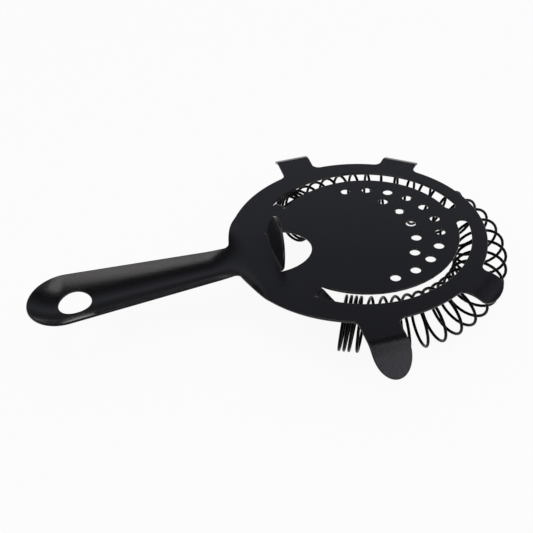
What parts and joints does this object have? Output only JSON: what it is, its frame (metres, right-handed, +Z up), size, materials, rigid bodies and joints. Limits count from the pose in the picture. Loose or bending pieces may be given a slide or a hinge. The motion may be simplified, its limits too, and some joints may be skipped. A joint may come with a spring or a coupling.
{
  "type": "hawthorne strainer",
  "caption": "Perforated round bar strainer bent from one black sheet, with rim ears, a finger tab and a trough handle, and a coiled wire spring slung in a horseshoe under its rim",
  "frame": {"origin": "centre of the round plate, on its top face", "axes": "+X points away from the handle along the strainer's length, +Z points up out of the plate's top face, +Y completes the right-handed set"},
  "size_m": [0.1646, 0.124, 0.0341],
  "materials": {
    "sheet_black": "matt black powder coat on stamped stainless steel sheet",
    "wire_black": "satin black coat on stainless steel spring wire"
  },
  "bodies": {
    "plate": {"plate": "sheet_black"},
    "spring": {"spring": "wire_black"}
  },
  "joints": [
    {"name": "spring_press", "type": "slide", "parent": "plate", "child": "spring", "axis": [1, 0, 0], "range_m": [-0.003, 0], "stiffness_N_per_m": 400}
  ]
}
